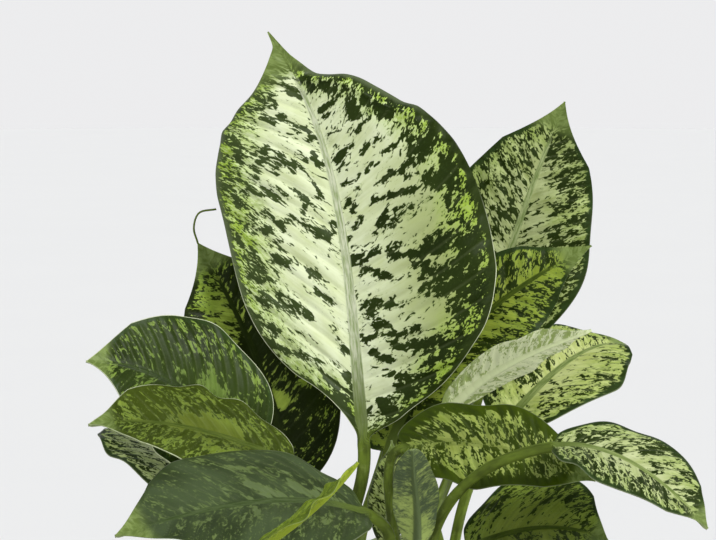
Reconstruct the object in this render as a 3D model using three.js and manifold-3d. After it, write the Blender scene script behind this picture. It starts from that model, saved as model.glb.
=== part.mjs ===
// A potted dieffenbachia: a plain grower's pot filled with compost, the canes that stand in it, and
// the leaves that spring from the canes. Each leaf is one solid from the sheath at its foot, along
// the petiole and the midrib, to the tip of the blade.
//
// Millimetres, +Z up. The origin is the middle of the pot's underside, and the tall leaf faces -Y.

import * as THREE from 'three';
import { LoftGeometry } from 'three/addons/geometries/LoftGeometry.js';
import { mergeVertices } from 'three/addons/utils/BufferGeometryUtils.js';
import Module from 'manifold-3d';

const wasm = await Module();
wasm.setup();

// ---- driving dimensions ----

const SEAT_GAP = 0.3; // between pieces that rest on each other

const POT_HEIGHT = 130;
const POT_BASE_RADIUS = 52;
const POT_RIM_RADIUS = 75;
const POT_WALL = 1.8;
const POT_LIP_HEIGHT = 15;
const POT_LIP_STEP = 2.6; // how far the lip stands out from the wall
const POT_EDGE = 2.5; // bevel between wall and underside
const POT_SIDES = 56;
const DRAIN_COUNT = 6;
const DRAIN_RADIUS = 4.5;
const DRAIN_CIRCLE = 34;

const SOIL_TOP = 113; // where the compost meets the pot's wall
const SOIL_MOUND = 5; // how much higher it is in the middle
const CANE_BURIED = 34;

const CANE_SIDES = 12;
const SCAR_SPACING = 15; // between the leaf scars that ring a cane
const SCAR_SWELL = 0.7;
const SCAR_HALF_HEIGHT = 3;

const SHEATH_WIDTH_RATIO = 2.5; // a petiole's flat foot, which clasps the cane, to its stalk
const SHEATH_HALF_DEPTH = 3.4;
const SHEATH_STANDOFF = 1.5; // from the cane's skin to the middle of the foot
const SHEATH_LEAN = 0.4; // how far the petiole leaves the cane as it climbs
const PETIOLE_BEND = 0.35; // how much of it already runs the way the midrib leaves the neck
const BLADE_THICKNESS = 1.0; // beside the midrib
const MARGIN_THICKNESS = 0.6;

// ---- canes ----

// Each cane is a nearly upright stem, from its foot in the compost to the top of its sheath.
const CANES = {
  middle: { foot: [1, 8], top: [0, 9], height: 222, footRadius: 9, topRadius: 6 },
  front: { foot: [9, -25], top: [10, -27], height: 196, footRadius: 7.5, topRadius: 5 },
  left: { foot: [-30, 10], top: [-37, 13], height: 196, footRadius: 8, topRadius: 5.5 },
  right: { foot: [31, -3], top: [37, -4], height: 204, footRadius: 8, topRadius: 5.5 },
};

// ---- leaves ----

// Half-widths of the tall leaf's two sides at stations from neck to tip, as shares of its width.
const TALL_OUTLINE = {
  stations: [0, 0.04, 0.107, 0.25, 0.393, 0.551, 0.66, 0.741, 0.81, 0.872, 0.93, 0.965, 1],
  left: [0, 0.04, 0.115, 0.325, 0.41, 0.44, 0.445, 0.405, 0.34, 0.22, 0.09, 0.025, 0],
  right: [0, 0.11, 0.28, 0.5, 0.575, 0.545, 0.45, 0.34, 0.19, 0.07, 0.02, 0.01, 0],
};

// node: height of the petiole's foot on the cane, and turn: the side it stands on, in degrees from +X.
// neck: where the petiole becomes the blade. rise and set: the way the midrib leaves the neck and
// reaches the tip. face: the way the upper surface looks. width: across the blade. stalk: the
// petiole's radius at the neck. lobe: how far the blade's base reaches back past the neck, as a
// share of its width. bend: in place of PETIOLE_BEND. outline: in place of the usual one.
// isBlunt: the blade, not yet fully grown, ends in a round spoon and not in a point.
// wisp: the points along a tip that has dried to a thread.
const LEAVES = [
  { name: 'leaf_tall', cane: 'middle', node: 214, turn: 200, neck: [3, 16, 300], tip: [-47, 55, 511],
    rise: [-0.10, 0.22, 1], set: [-0.62, 0.12, 0.85], face: [-0.12, -1, 0.2],
    width: 134, stalk: 3.3, lobe: 0, outline: TALL_OUTLINE },
  { name: 'leaf_left_back', cane: 'left', node: 188, turn: 75, neck: [-36, 44, 270], tip: [-85, 62, 400],
    rise: [-0.12, 0.25, 1], set: [-0.5, 0.05, 0.85], face: [0.25, -1, 0.3],
    width: 82, stalk: 2.8, lobe: 0.1, wisp: [[-87, 62, 408], [-84, 61, 416], [-75, 60, 418]] },
  { name: 'leaf_left_mid', cane: 'left', node: 184, turn: 200, neck: [-52, -10, 302], tip: [-131, -40, 352],
    rise: [-0.55, -0.25, 0.75], set: [-0.9, -0.3, 0.05], face: [-0.1, -0.75, 0.65],
    width: 78, stalk: 2.6, lobe: 0.1 },
  { name: 'leaf_left_folded', cane: 'left', node: 162, turn: 262, neck: [-29, -38, 300], tip: [-126, -72, 327],
    rise: [-0.8, -0.35, 0.45], set: [-0.9, -0.3, -0.1], face: [-0.1, -0.45, 0.9],
    width: 70, stalk: 2.6, lobe: 0.1 },
  { name: 'leaf_front_left', cane: 'front', node: 180, turn: 215, neck: [5, -72, 284], tip: [-106, -138, 290],
    rise: [-0.75, -0.5, 0.4], set: [-0.85, -0.35, -0.2], face: [0.1, -0.4, 0.9],
    width: 82, stalk: 2.9, lobe: 0.05 },
  { name: 'leaf_front_small', cane: 'front', node: 142, turn: 235, neck: [-44, -160, 291], tip: [-0.4, -173, 330],
    rise: [0.7, -0.5, 0.5], set: [0.62, 0.1, 0.77], face: [-0.62, 0.04, 0.77],
    width: 26, stalk: 1.9, lobe: 0, bend: 0.1 },
  { name: 'leaf_young_front', cane: 'front', node: 188, turn: 300, neck: [28, -53, 262], tip: [24.5, -106, 322],
    rise: [0.05, -0.35, 1], set: [0.0, -0.65, 0.7], face: [-0.2, 0.85, 0.5],
    width: 22, stalk: 2.1, lobe: 0, isBlunt: true },
  { name: 'leaf_young_back', cane: 'middle', node: 204, turn: 318, neck: [14, 0, 250], tip: [17, 3, 305],
    rise: [0.05, 0.0, 1], set: [-0.1, 0.05, 1], face: [0.05, -1, 0.1],
    width: 22, stalk: 2.0, lobe: 0 },
  { name: 'leaf_right_tall', cane: 'right', node: 196, turn: 120, neck: [68, 72, 332], tip: [112, 92, 474],
    rise: [0.15, 0.2, 1], set: [0.35, 0.1, 0.9], face: [-0.15, -1, 0.25],
    width: 84, stalk: 2.8, lobe: 0.1 },
  { name: 'leaf_right_wide', cane: 'middle', node: 182, turn: 10, neck: [15, 30, 291], tip: [122, 46, 400],
    rise: [0.3, 0.1, 1], set: [0.9, 0.05, 0.45], face: [-0.3, -0.95, 0.35],
    width: 60, stalk: 2.8, lobe: 0.36 },
  { name: 'leaf_right_pale', cane: 'right', node: 190, turn: 20, neck: [43, 2, 318], tip: [116, -8, 363],
    rise: [0.6, 0, 0.8], set: [0.95, -0.1, 0.35], face: [-0.35, 0.75, 0.7],
    width: 34, stalk: 2.5, lobe: 0 },
  { name: 'leaf_right_near', cane: 'front', node: 168, turn: 15, neck: [21, -26, 306], tip: [112, -66, 299],
    rise: [0.85, -0.2, 0.3], set: [0.9, -0.3, -0.3], face: [0.05, -0.85, 0.6],
    width: 46, stalk: 2.5, lobe: 0.4, bend: 0.15 },
  { name: 'leaf_right_arching', cane: 'right', node: 162, turn: 270, neck: [90, -75, 317], tip: [158, -108, 286],
    rise: [0.9, -0.25, 0.2], set: [0.75, -0.3, -0.85], face: [0.25, -0.35, 0.95],
    width: 60, stalk: 2.6, lobe: 0.1, bend: 0.45 },
  { name: 'leaf_right_low', cane: 'right', node: 148, turn: 346, neck: [52, -34, 257], tip: [118, -68, 271],
    rise: [0.8, -0.3, 0.5], set: [0.9, -0.25, -0.35], face: [0.0, -0.55, 0.85],
    width: 76, stalk: 2.6, lobe: 0.1 },
  { name: 'leaf_back_tall', cane: 'middle', node: 188, turn: 115, neck: [22, 92, 326], tip: [48, 146, 428],
    rise: [0.0, 0.35, 1], set: [0.2, 0.65, 0.7], face: [0.1, -0.7, 0.75],
    width: 84, stalk: 2.9, lobe: 0.1 },
  { name: 'leaf_back_left', cane: 'left', node: 166, turn: 130, neck: [-70, 84, 246], tip: [-146, 146, 284],
    rise: [-0.55, 0.5, 0.75], set: [-0.7, 0.65, -0.1], face: [0.2, -0.1, 1],
    width: 88, stalk: 2.7, lobe: 0.15 },
  { name: 'leaf_back_right', cane: 'right', node: 168, turn: 60, neck: [78, 60, 302], tip: [152, 130, 336],
    rise: [0.6, 0.45, 0.6], set: [0.7, 0.65, -0.2], face: [-0.2, -0.55, 0.8],
    width: 72, stalk: 2.7, lobe: 0.15 },
  { name: 'leaf_back_low', cane: 'middle', node: 162, turn: 80, neck: [2, 84, 214], tip: [8, 176, 200],
    rise: [0.0, 0.75, 0.6], set: [0.05, 0.8, -0.6], face: [0, 0.1, 1],
    width: 84, stalk: 2.7, lobe: 0.15 },
  { name: 'leaf_front_low', cane: 'front', node: 150, turn: 300, neck: [20, -92, 210], tip: [28, -174, 186],
    rise: [0.05, -0.8, 0.45], set: [0.1, -0.75, -0.75], face: [0.05, -0.15, 1],
    width: 76, stalk: 2.6, lobe: 0.15 },
];

// ---- leaf shape ----

const PETIOLE_STATIONS = [0, 0.17, 0.36, 0.54, 0.7, 0.82, 0.92];
const BLADE_STATIONS = [0, 0.03, 0.08, 0.16, 0.27, 0.4, 0.54, 0.67, 0.77, 0.85, 0.92, 0.965, 1];
const WISP_STATIONS = [0.25, 0.5, 0.75, 1];
const WISP_RADIUS = 0.5;
const RIB_SHARE = 0.34; // the share of a section's points that lie on the midrib
const SECTION_STEPS = [-1, -0.67, -RIB_SHARE, 0, RIB_SHARE, 0.67, 1];
const BLADE_LIFT = 0.3; // how steeply the two halves rise from the midrib
const BLADE_RECURVE = 0.26; // and how much their margins turn back down

const mix = (a, b, t) => a + (b - a) * t;
const clamp01 = (t) => Math.min(1, Math.max(0, t));
const smooth = (t) => clamp01(t) ** 2 * (3 - 2 * clamp01(t));

// The half-width of an ordinary blade at v, from neck 0 to tip 1, for a blade 1 wide.
function usualOutline(v, isBlunt) {
  const body = Math.sin(Math.PI * v ** 0.85) ** (isBlunt ? 0.5 : 0.8);
  const tip = isBlunt ? 1 : 1 - 0.62 * clamp01((v - 0.8) / 0.2);
  return 0.5 * body * tip;
}

// The same between the stations of a measured outline, on the side with the given sign.
function measuredOutline({ stations, left, right }, v, side) {
  const widths = side < 0 ? left : right;
  const i = Math.min(stations.findLastIndex((station) => station <= v), stations.length - 2);
  return mix(widths[i], widths[i + 1], (v - stations[i]) / (stations[i + 1] - stations[i]));
}

// One point of a section across the petiole: [sideways, up, along].
function petiolePoint(q, isTop, halfWidth, halfDepth) {
  const rise = halfDepth * Math.cos((Math.PI / 2) * q) + 0.2;
  return [halfWidth * Math.sin((Math.PI / 2) * q), isTop ? rise : -rise, 0];
}

// The same for the blade. The midrib stands out below and the halves rise from it and recurve.
function bladePoint(q, isTop, v, leaf) {
  const side = Math.sign(q);
  const share = leaf.outline ? measuredOutline(leaf.outline, v, side) : usualOutline(v, leaf.isBlunt);
  const halfWidth = Math.max(share * leaf.width, 0.5);
  const rib = Math.min(leaf.stalk * (1 - 0.8 * v), halfWidth * 0.5);
  const onRib = Math.min(Math.abs(q) / RIB_SHARE, 1);
  const beyond = Math.max(Math.abs(q) - RIB_SHARE, 0) / (1 - RIB_SHARE);
  const across = rib * onRib + (halfWidth - rib) * beyond;
  const reach = across / (0.5 * leaf.width);
  const lift = 0.5 * leaf.width * (BLADE_LIFT * reach - BLADE_RECURVE * reach ** 2);
  const thickness = mix(BLADE_THICKNESS, MARGIN_THICKNESS, beyond);
  const keel = 1.5 * rib * Math.sqrt(1 - onRib ** 2);
  const back = leaf.lobe * leaf.width * Math.min(reach, 1) * (1 - smooth(v / 0.45));
  return [side * across, isTop ? lift : lift - thickness - keel, -back];
}

function leafCurves(leaf) {
  const cane = CANES[leaf.cane];
  const neck = new THREE.Vector3(...leaf.neck);
  const tip = new THREE.Vector3(...leaf.tip);
  const rise = new THREE.Vector3(...leaf.rise).normalize();
  const set = new THREE.Vector3(...leaf.set).normalize();
  const turn = THREE.MathUtils.degToRad(leaf.turn);
  const outward = new THREE.Vector3(Math.cos(turn), Math.sin(turn), 0);
  const foot = caneAxis(cane, leaf.node).addScaledVector(outward, caneRadius(cane, leaf.node) + SHEATH_STANDOFF);
  const stalkLength = neck.distanceTo(foot);
  const bladeLength = tip.distanceTo(neck);
  const bend = leaf.bend ?? PETIOLE_BEND;
  const climb = outward.clone().multiplyScalar(SHEATH_LEAN).setZ(1).normalize();
  return {
    outward,
    petiole: new THREE.CubicBezierCurve3(foot,
      foot.clone().addScaledVector(climb, 0.4 * stalkLength),
      neck.clone().addScaledVector(rise, -bend * stalkLength), neck),
    blade: new THREE.CubicBezierCurve3(neck,
      neck.clone().addScaledVector(rise, 0.36 * bladeLength),
      tip.clone().addScaledVector(set, -0.33 * bladeLength), tip),
  };
}

function leafGeometry(leaf) {
  const curves = leafCurves(leaf);
  const face = new THREE.Vector3(...leaf.face).normalize();
  const inward = curves.outward.clone().negate();
  const sections = [];

  const addSection = (curve, t, upward, pointAt) => {
    const centre = curve.getPoint(t);
    const along = curve.getTangent(t);
    const up = upward.clone().addScaledVector(along, -upward.dot(along)).normalize();
    const sideways = new THREE.Vector3().crossVectors(along, up);
    const place = ([x, z, y]) => centre.clone()
      .addScaledVector(sideways, x).addScaledVector(up, z).addScaledVector(along, y);
    const top = SECTION_STEPS.map((q) => place(pointAt(q, true)));
    const bottom = SECTION_STEPS.map((q) => place(pointAt(q, false))).reverse();
    sections.push([...top, ...bottom]);
  };

  for (const t of PETIOLE_STATIONS) {
    const halfWidth = leaf.stalk * mix(SHEATH_WIDTH_RATIO, 1, smooth(t / 0.55));
    const halfDepth = mix(SHEATH_HALF_DEPTH, leaf.stalk, smooth(t / 0.55));
    const upward = inward.clone().lerp(face, smooth(t));
    addSection(curves.petiole, t, upward, (q, isTop) => petiolePoint(q, isTop, halfWidth, halfDepth));
  }
  for (const v of BLADE_STATIONS) {
    const spread = smooth(v / 0.05);
    addSection(curves.blade, v, face, (q, isTop) => {
      const round = petiolePoint(q, isTop, leaf.stalk, leaf.stalk);
      const flat = bladePoint(q, isTop, v, leaf);
      return round.map((value, i) => mix(value, flat[i], spread));
    });
  }
  if (leaf.wisp) {
    const points = [leaf.tip, ...leaf.wisp].map((point) => new THREE.Vector3(...point));
    const wisp = new THREE.CatmullRomCurve3(points);
    for (const t of WISP_STATIONS) {
      addSection(wisp, t, face, (q, isTop) => petiolePoint(q, isTop, WISP_RADIUS, WISP_RADIUS));
    }
  }
  const leafSolid = toSolid(new LoftGeometry(sections, { capStart: true, capEnd: true }));
  return toGeometry(leafSolid.subtract(toSolid(caneGeometry(CANES[leaf.cane], SEAT_GAP))));
}

// ---- cane shape ----

function caneAxis(cane, z) {
  const t = (z - SOIL_TOP) / (cane.height - SOIL_TOP);
  return new THREE.Vector3(mix(cane.foot[0], cane.top[0], t), mix(cane.foot[1], cane.top[1], t), z);
}

function caneRadius(cane, z) {
  return mix(cane.footRadius, cane.topRadius, clamp01((z - SOIL_TOP) / (cane.height - SOIL_TOP)));
}

function caneGeometry(cane, margin = 0) {
  const levels = [SOIL_TOP - CANE_BURIED - margin];
  for (let z = SOIL_TOP; z < cane.height - SCAR_SPACING / 2; z += SCAR_SPACING) {
    levels.push(z - SCAR_HALF_HEIGHT, z, z + SCAR_HALF_HEIGHT);
  }
  levels.push(cane.height + margin);
  const sections = levels.map((z, i) => {
    const centre = caneAxis(cane, z);
    const isScar = i % 3 === 2;
    const radius = caneRadius(cane, z) - (isScar ? 0 : SCAR_SWELL) + margin;
    return Array.from({ length: CANE_SIDES }, (_, k) => {
      const turn = (2 * Math.PI * k) / CANE_SIDES;
      return new THREE.Vector3(radius * Math.cos(turn), radius * Math.sin(turn), 0).add(centre);
    });
  });
  return new LoftGeometry(sections, { capStart: true, capEnd: true });
}

// ---- pot and compost ----

const lathe = (profile) => {
  const points = profile.map(([r, z]) => new THREE.Vector2(r, z));
  return new THREE.LatheGeometry(points, POT_SIDES).rotateX(Math.PI / 2);
};

const outerRadius = (z) => mix(POT_BASE_RADIUS, POT_RIM_RADIUS - POT_LIP_STEP, z / POT_HEIGHT);
const innerRadius = (z) => outerRadius(z) - POT_WALL;

function potGeometry() {
  const lipFoot = POT_HEIGHT - POT_LIP_HEIGHT;
  const shell = toSolid(lathe([
    [0, 0],
    [POT_BASE_RADIUS - POT_EDGE, 0],
    [outerRadius(POT_EDGE), POT_EDGE],
    [outerRadius(lipFoot - 2), lipFoot - 2],
    [POT_RIM_RADIUS - 0.8, lipFoot],
    [POT_RIM_RADIUS, POT_HEIGHT - 1.5],
    [POT_RIM_RADIUS - 1.2, POT_HEIGHT],
    [innerRadius(POT_HEIGHT) + 1, POT_HEIGHT],
    [innerRadius(POT_HEIGHT), POT_HEIGHT - 1.2],
    [innerRadius(POT_EDGE + POT_WALL), POT_EDGE + POT_WALL],
    [innerRadius(POT_WALL) - POT_EDGE, POT_WALL],
    [0, POT_WALL],
  ]));
  const drains = Array.from({ length: DRAIN_COUNT }, (_, k) => {
    const turn = (2 * Math.PI * (k + 0.5)) / DRAIN_COUNT;
    const bit = new THREE.CylinderGeometry(DRAIN_RADIUS, DRAIN_RADIUS, 4 * POT_WALL, 16);
    bit.rotateX(Math.PI / 2);
    bit.translate(DRAIN_CIRCLE * Math.cos(turn), DRAIN_CIRCLE * Math.sin(turn), POT_WALL / 2);
    return toSolid(bit);
  });
  return toGeometry(drains.reduce((pot, drain) => pot.subtract(drain), shell));
}

function soilGeometry() {
  const floor = POT_WALL + SEAT_GAP;
  const edge = (z) => innerRadius(z) - SEAT_GAP;
  const filling = toSolid(lathe([
    [0, floor],
    [edge(floor) - POT_EDGE, floor],
    [edge(floor + POT_EDGE), floor + POT_EDGE],
    [edge(SOIL_TOP), SOIL_TOP],
    [edge(SOIL_TOP) * 0.72, SOIL_TOP + 0.45 * SOIL_MOUND],
    [edge(SOIL_TOP) * 0.35, SOIL_TOP + SOIL_MOUND],
    [0, SOIL_TOP + SOIL_MOUND],
  ]));
  const holes = Object.values(CANES).map((cane) => toSolid(caneGeometry(cane, SEAT_GAP)));
  return toGeometry(holes.reduce((soil, hole) => soil.subtract(hole), filling));
}

// ---- solids ----

function toSolid(geometry) {
  const bare = new THREE.BufferGeometry().copy(geometry);
  bare.deleteAttribute('normal');
  bare.deleteAttribute('uv');
  const merged = mergeVertices(bare, 1e-4);
  return new wasm.Manifold(new wasm.Mesh({
    numProp: 3,
    vertProperties: new Float32Array(merged.attributes.position.array),
    triVerts: new Uint32Array(merged.index.array),
  }));
}

function toGeometry(solid) {
  const mesh = solid.getMesh();
  const geometry = new THREE.BufferGeometry();
  geometry.setAttribute('position', new THREE.BufferAttribute(mesh.vertProperties, 3));
  geometry.setIndex(new THREE.BufferAttribute(mesh.triVerts, 1));
  geometry.computeVertexNormals();
  return geometry;
}

// ---- the plant ----

const potPlastic = new THREE.MeshStandardMaterial({ color: 0xa9603f, roughness: 0.55, metalness: 0 });
const compost = new THREE.MeshStandardMaterial({ color: 0x2f2118, roughness: 0.95, metalness: 0 });
const caneGreen = new THREE.MeshStandardMaterial({ color: 0x6f8a45, roughness: 0.5, metalness: 0 });
const leafGreen = new THREE.MeshStandardMaterial({ color: 0x8fa866, roughness: 0.4, metalness: 0 });

const plant = new THREE.Group();

function add(name, geometry, material) {
  const mesh = new THREE.Mesh(geometry, material);
  mesh.name = name;
  plant.add(mesh);
}

add('pot', potGeometry(), potPlastic);
add('compost', soilGeometry(), compost);
for (const [side, cane] of Object.entries(CANES)) add(`cane_${side}`, caneGeometry(cane), caneGreen);
for (const leaf of LEAVES) add(leaf.name, leafGeometry(leaf), leafGreen);

export default plant;
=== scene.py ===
import math
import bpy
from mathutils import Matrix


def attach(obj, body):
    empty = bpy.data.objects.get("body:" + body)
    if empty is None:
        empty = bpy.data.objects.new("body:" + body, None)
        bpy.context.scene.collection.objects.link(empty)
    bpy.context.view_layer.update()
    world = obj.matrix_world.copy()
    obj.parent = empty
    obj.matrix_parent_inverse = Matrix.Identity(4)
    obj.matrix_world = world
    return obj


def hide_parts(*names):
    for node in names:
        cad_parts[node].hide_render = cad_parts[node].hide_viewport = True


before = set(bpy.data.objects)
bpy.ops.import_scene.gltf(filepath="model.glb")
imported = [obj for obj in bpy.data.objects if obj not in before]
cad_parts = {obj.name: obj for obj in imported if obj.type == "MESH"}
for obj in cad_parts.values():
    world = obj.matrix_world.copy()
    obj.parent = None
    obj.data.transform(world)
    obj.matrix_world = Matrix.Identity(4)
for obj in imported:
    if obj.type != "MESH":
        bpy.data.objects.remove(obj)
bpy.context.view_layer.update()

from types import SimpleNamespace as Values

import bmesh
import bpy
import numpy as np

# A potted dieffenbachia. Lengths are in millimetres, in the frame's axes, unless a comment says metres.
# Materials take places in metres, and a leaf's marks come from its mesh's values.
MM = 0.001  # metres

# ---- dimensions, as in the CAD ----

SEAT_GAP = 0.3  # between the compost and the pot

POT_HEIGHT = 130
POT_BASE_RADIUS = 52
POT_RIM_RADIUS = 75
POT_WALL = 1.8
POT_LIP_HEIGHT = 15
POT_LIP_STEP = 2.6  # how far the lip stands out from the wall
DRAIN_COUNT = 6
DRAIN_RADIUS = 4.5
DRAIN_CIRCLE = 34

SOIL_TOP = 113  # where the compost meets the pot's wall
SOIL_MOUND = 5  # how much higher it is in the middle
CANE_BURIED = 34
SCAR_SPACING = 15  # between the leaf scars that ring a cane
SCAR_SWELL = 0.7

SHEATH_WIDTH_RATIO = 2.5  # a petiole's flat foot, which clasps the cane, to its stalk
SHEATH_HALF_DEPTH = 3.4
SHEATH_STANDOFF = 1.5  # from the cane's skin to the middle of the foot
SHEATH_LEAN = 0.4  # how far the petiole leaves the cane as it climbs
PETIOLE_BEND = 0.35  # how much of it already runs the way the midrib leaves the neck
WISP_RADIUS = 0.5  # of a dried, drawn-out tip
RIB_SHARE = 0.34  # of the steps across a section that lie on the midrib
BLADE_LIFT = 0.3  # how steeply the halves rise from the midrib
BLADE_RECURVE = 0.26  # how much they bend back towards the margin

# ---- dimensions that only the visual model has ----

GROOVE = (38, 45.5)  # inner and outer radius of the shallow ring in the pot's underside
GROOVE_DEPTH = 0.9
GROOVE_SLOPE = 1.5  # how wide each of its sides is
SCAR_HALF_HEIGHT = 2.4
SCAR_NICK = 0.35  # depth of the line along the middle of a scar
SCAR_NICK_HALF_HEIGHT = 0.6
BLADE_THICKNESS = 0.9  # beside the midrib
MARGIN_THICKNESS = 0.45
VEIN_SPACING_SHARE = 0.042  # distance between side veins: a share of the blade's length, and so much more
VEIN_SPACING_MORE = 1.5
VEIN_CURVE = 0.0012  # how much the side veins bend towards the tip on their way out
VEIN_DEPTH = 0.9
VEIN_HALF_WIDTH = 1.7
QUILTING = 0.4  # height of the swellings between side veins
MARK_FRINGE = 0.6  # how far a blotch's influence reaches past its half-width

POT_SIDES = 160
COMPOST_SIDES = 144
CANE_SIDES = 40
CANE_STEP = 0.75
DRAIN_SIDES = 24
PETIOLE_ROWS = 40
WISP_ROWS = 16
RIB_STEPS = (0.0, 0.35, 0.7, 1.0)  # where vertices lie on each half of the midrib

# ---- canes and leaves: the same lines as the CAD ----

CANES = {
    "middle": Values(foot=(1, 8), top=(0, 9), height=222, radii=(9, 6)),
    "front": Values(foot=(9, -25), top=(10, -27), height=196, radii=(7.5, 5)),
    "left": Values(foot=(-30, 10), top=(-37, 13), height=196, radii=(8, 5.5)),
    "right": Values(foot=(31, -3), top=(37, -4), height=204, radii=(8, 5.5)),
}

# Half-widths of the tall leaf on its two sides, at shares of its length. These points, and the ends of its
# blotches below, were read in the photo, and brought onto the leaf through the fitted camera.
TALL_LEFT = [
    (0, 0.5), (0.032, 3.7), (0.064, 7.6), (0.103, 14.4), (0.134, 21.9), (0.168, 32.1), (0.229, 43.7),
    (0.288, 50.8), (0.358, 55.7), (0.444, 58.3), (0.538, 59.6), (0.622, 60.1), (0.694, 57.8), (0.782, 50.8),
    (0.822, 47), (0.838, 41), (0.862, 34.5), (0.883, 24.3), (0.912, 14.9), (0.944, 6.7), (0.965, 2.2),
    (1, 0.4),
]
TALL_RIGHT = [
    (0, 0.5), (0.006, 2), (0.037, 15.8), (0.066, 25.8), (0.102, 39.4), (0.138, 49.4), (0.189, 59.8),
    (0.244, 68.8), (0.302, 73.8), (0.363, 76.5), (0.428, 76), (0.484, 74.6), (0.554, 71.5), (0.615, 67),
    (0.656, 61.9), (0.684, 57.6), (0.711, 52.8), (0.726, 47), (0.745, 42.8), (0.779, 35.7), (0.808, 29.8),
    (0.829, 23.6), (0.843, 16.5), (0.862, 10), (0.897, 5.8), (0.93, 2.9), (0.965, 1.4), (1, 0.4),
]

# The leaves. Each foot lies on a cane, at a height (node) and a side of it (turn, in degrees). The midrib
# leaves the neck in the direction rise and reaches the tip in the direction set, and the blade's upper side
# looks towards face. Width is the blade's, stalk the petiole's radius, lobe how far back the halves reach.
LEAF_COLUMNS = ("cane", "node", "turn", "neck", "tip", "rise", "set", "face", "width", "stalk", "lobe")
LEAVES = {
    "tall": ("middle", 214, 200, (3, 16, 300), (-47, 55, 511), (-0.10, 0.22, 1), (-0.62, 0.12, 0.85),
        (-0.12, -1, 0.2), 134, 3.3, 0),
    "left_back": ("left", 188, 75, (-36, 44, 270), (-85, 62, 400), (-0.12, 0.25, 1),
        (-0.5, 0.05, 0.85), (0.25, -1, 0.3), 82, 2.8, 0.1),
    "left_mid": ("left", 184, 200, (-52, -10, 302), (-131, -40, 352), (-0.55, -0.25, 0.75),
        (-0.9, -0.3, 0.05), (-0.1, -0.75, 0.65), 78, 2.6, 0.1),
    "left_folded": ("left", 162, 262, (-29, -38, 300), (-126, -72, 327), (-0.8, -0.35, 0.45),
        (-0.9, -0.3, -0.1), (-0.1, -0.45, 0.9), 70, 2.6, 0.1),
    "front_left": ("front", 180, 215, (5, -72, 284), (-106, -138, 290), (-0.75, -0.5, 0.4),
        (-0.85, -0.35, -0.2), (0.1, -0.4, 0.9), 82, 2.9, 0.05),
    "front_small": ("front", 142, 235, (-44, -160, 291), (-0.4, -173, 330), (0.7, -0.5, 0.5),
        (0.62, 0.1, 0.77), (-0.62, 0.04, 0.77), 26, 1.9, 0),
    "young_front": ("front", 188, 300, (28, -53, 262), (24.5, -106, 322), (0.05, -0.35, 1),
        (0.0, -0.65, 0.7), (-0.2, 0.85, 0.5), 22, 2.1, 0),
    "young_back": ("middle", 204, 318, (14, 0, 250), (17, 3, 305), (0.05, 0.0, 1), (-0.1, 0.05, 1),
        (0.05, -1, 0.1), 22, 2.0, 0),
    "right_tall": ("right", 196, 120, (68, 72, 332), (112, 92, 474), (0.15, 0.2, 1), (0.35, 0.1, 0.9),
        (-0.15, -1, 0.25), 84, 2.8, 0.1),
    "right_wide": ("middle", 182, 10, (15, 30, 291), (122, 46, 400), (0.3, 0.1, 1), (0.9, 0.05, 0.45),
        (-0.3, -0.95, 0.35), 60, 2.8, 0.36),
    "right_pale": ("right", 190, 20, (43, 2, 318), (116, -8, 363), (0.6, 0, 0.8), (0.95, -0.1, 0.35),
        (-0.35, 0.75, 0.7), 34, 2.5, 0),
    "right_near": ("front", 168, 15, (21, -26, 306), (112, -66, 299), (0.85, -0.2, 0.3),
        (0.9, -0.3, -0.3), (0.05, -0.85, 0.6), 46, 2.5, 0.4),
    "right_arching": ("right", 162, 270, (90, -75, 317), (158, -108, 286), (0.9, -0.25, 0.2),
        (0.75, -0.3, -0.85), (0.25, -0.35, 0.95), 60, 2.6, 0.1),
    "right_low": ("right", 148, 346, (52, -34, 257), (118, -68, 271), (0.8, -0.3, 0.5),
        (0.9, -0.25, -0.35), (0.0, -0.55, 0.85), 76, 2.6, 0.1),
    "back_tall": ("middle", 188, 115, (22, 92, 326), (48, 146, 428), (0.0, 0.35, 1), (0.2, 0.65, 0.7),
        (0.1, -0.7, 0.75), 84, 2.9, 0.1),
    "back_left": ("left", 166, 130, (-70, 84, 246), (-146, 146, 284), (-0.55, 0.5, 0.75),
        (-0.7, 0.65, -0.1), (0.2, -0.1, 1), 88, 2.7, 0.15),
    "back_right": ("right", 168, 60, (78, 60, 302), (152, 130, 336), (0.6, 0.45, 0.6),
        (0.7, 0.65, -0.2), (-0.2, -0.55, 0.8), 72, 2.7, 0.15),
    "back_low": ("middle", 162, 80, (2, 84, 214), (8, 176, 200), (0.0, 0.75, 0.6), (0.05, 0.8, -0.6),
        (0, 0.1, 1), 84, 2.7, 0.15),
    "front_low": ("front", 150, 300, (20, -92, 210), (28, -174, 186), (0.05, -0.8, 0.45),
        (0.1, -0.75, -0.75), (0.05, -0.15, 1), 76, 2.6, 0.15),
}
# What some have besides: measured half-widths, a dried wisp that carries the tip on through more points,
# another bend of the petiole, and a blunt end.
USUAL_EXTRAS = dict(outline=(), wisp=(), bend=PETIOLE_BEND, blunt=False)
LEAF_EXTRAS = {
    "tall": dict(outline=(TALL_LEFT, TALL_RIGHT)),
    "left_back": dict(wisp=((-87, 62, 408), (-84, 61, 416), (-75, 60, 418))),
    "front_small": dict(bend=0.1),
    "young_front": dict(blunt=True),
    "right_near": dict(bend=0.15),
    "right_arching": dict(bend=0.45),
}

# ---- the tall leaf's own relief and marks ----

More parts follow.
